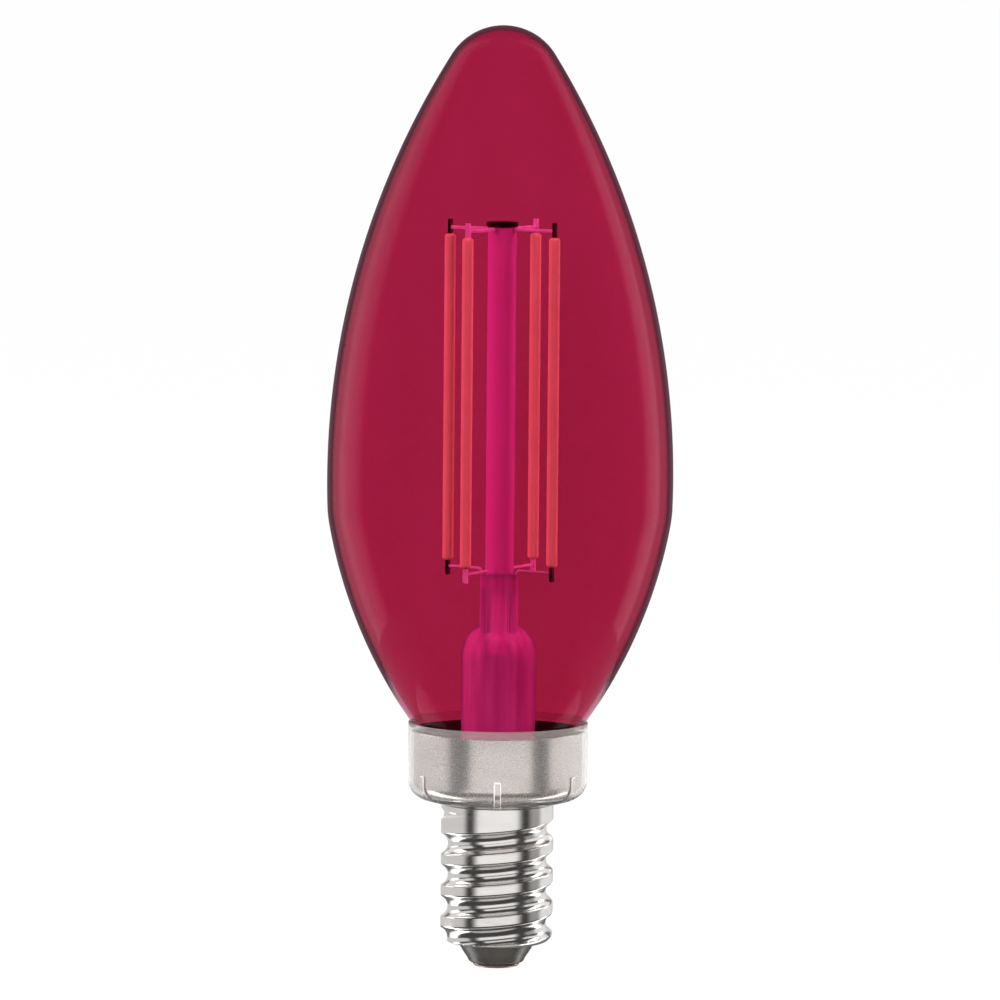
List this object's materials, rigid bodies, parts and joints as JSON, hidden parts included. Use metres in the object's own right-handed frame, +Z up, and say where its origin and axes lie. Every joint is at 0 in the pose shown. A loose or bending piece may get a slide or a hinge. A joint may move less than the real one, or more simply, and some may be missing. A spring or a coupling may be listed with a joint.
{
  "type": "led filament bulb",
  "caption": "Candle-shaped LED filament bulb with red glass, a clear collar over a silver liner and a small screw base.",
  "frame": {"origin": "lowest point of the centre contact, on the bulb's axis, which is where the screw base seats in its holder", "axes": "+Z up along the bulb's axis, from the contact to the glass tip; -Y is the side that faces the camera"},
  "size_m": [0.0358, 0.0358, 0.0974],
  "materials": {
    "red_glass": "gloss",
    "stem_glass": "gloss",
    "clear_plastic": "gloss",
    "satin_silver": "satin",
    "cement": "matte",
    "nickel": "polished",
    "dark_insulator": "gloss",
    "contact_metal": "satin",
    "dark_metal": "satin",
    "arm_metal": "satin",
    "phosphor": "matte",
    "board": "matte",
    "dark_package": "matte",
    "resistor_body": "gloss"
  },
  "bodies": {
    "root": {"glass_envelope": "red_glass", "glass_stem": "stem_glass", "exhaust_tube": "stem_glass", "support_rod": "stem_glass", "rod_button": "dark_metal", "collar_skin": "clear_plastic", "collar_liner": "satin_silver", "neck_cement": "cement", "screw_shell": "nickel", "base_insulator": "dark_insulator", "centre_contact": "contact_metal", "front_lead": "dark_metal", "rear_lead": "dark_metal", "front_link": "dark_metal", "rear_link": "dark_metal", "driver_board": "board", "bridge_rectifier": "dark_package", "driver_chip": "dark_package", "fusible_resistor": "resistor_body", "filter_capacitor": "dark_package", "shell_lead": "dark_metal", "contact_lead": "dark_metal", "filament_1": "phosphor", "top_pin_1": "dark_metal", "bottom_pin_1": "dark_metal", "top_arm_1": "arm_metal", "bottom_arm_1": "arm_metal", "filament_2": "phosphor", "top_pin_2": "dark_metal", "bottom_pin_2": "dark_metal", "top_arm_2": "arm_metal", "bottom_arm_2": "arm_metal", "filament_3": "phosphor", "top_pin_3": "dark_metal", "bottom_pin_3": "dark_metal", "top_arm_3": "arm_metal", "bottom_arm_3": "arm_metal", "filament_4": "phosphor", "top_pin_4": "dark_metal", "bottom_pin_4": "dark_metal", "top_arm_4": "arm_metal", "bottom_arm_4": "arm_metal"}
  },
  "joints": []
}
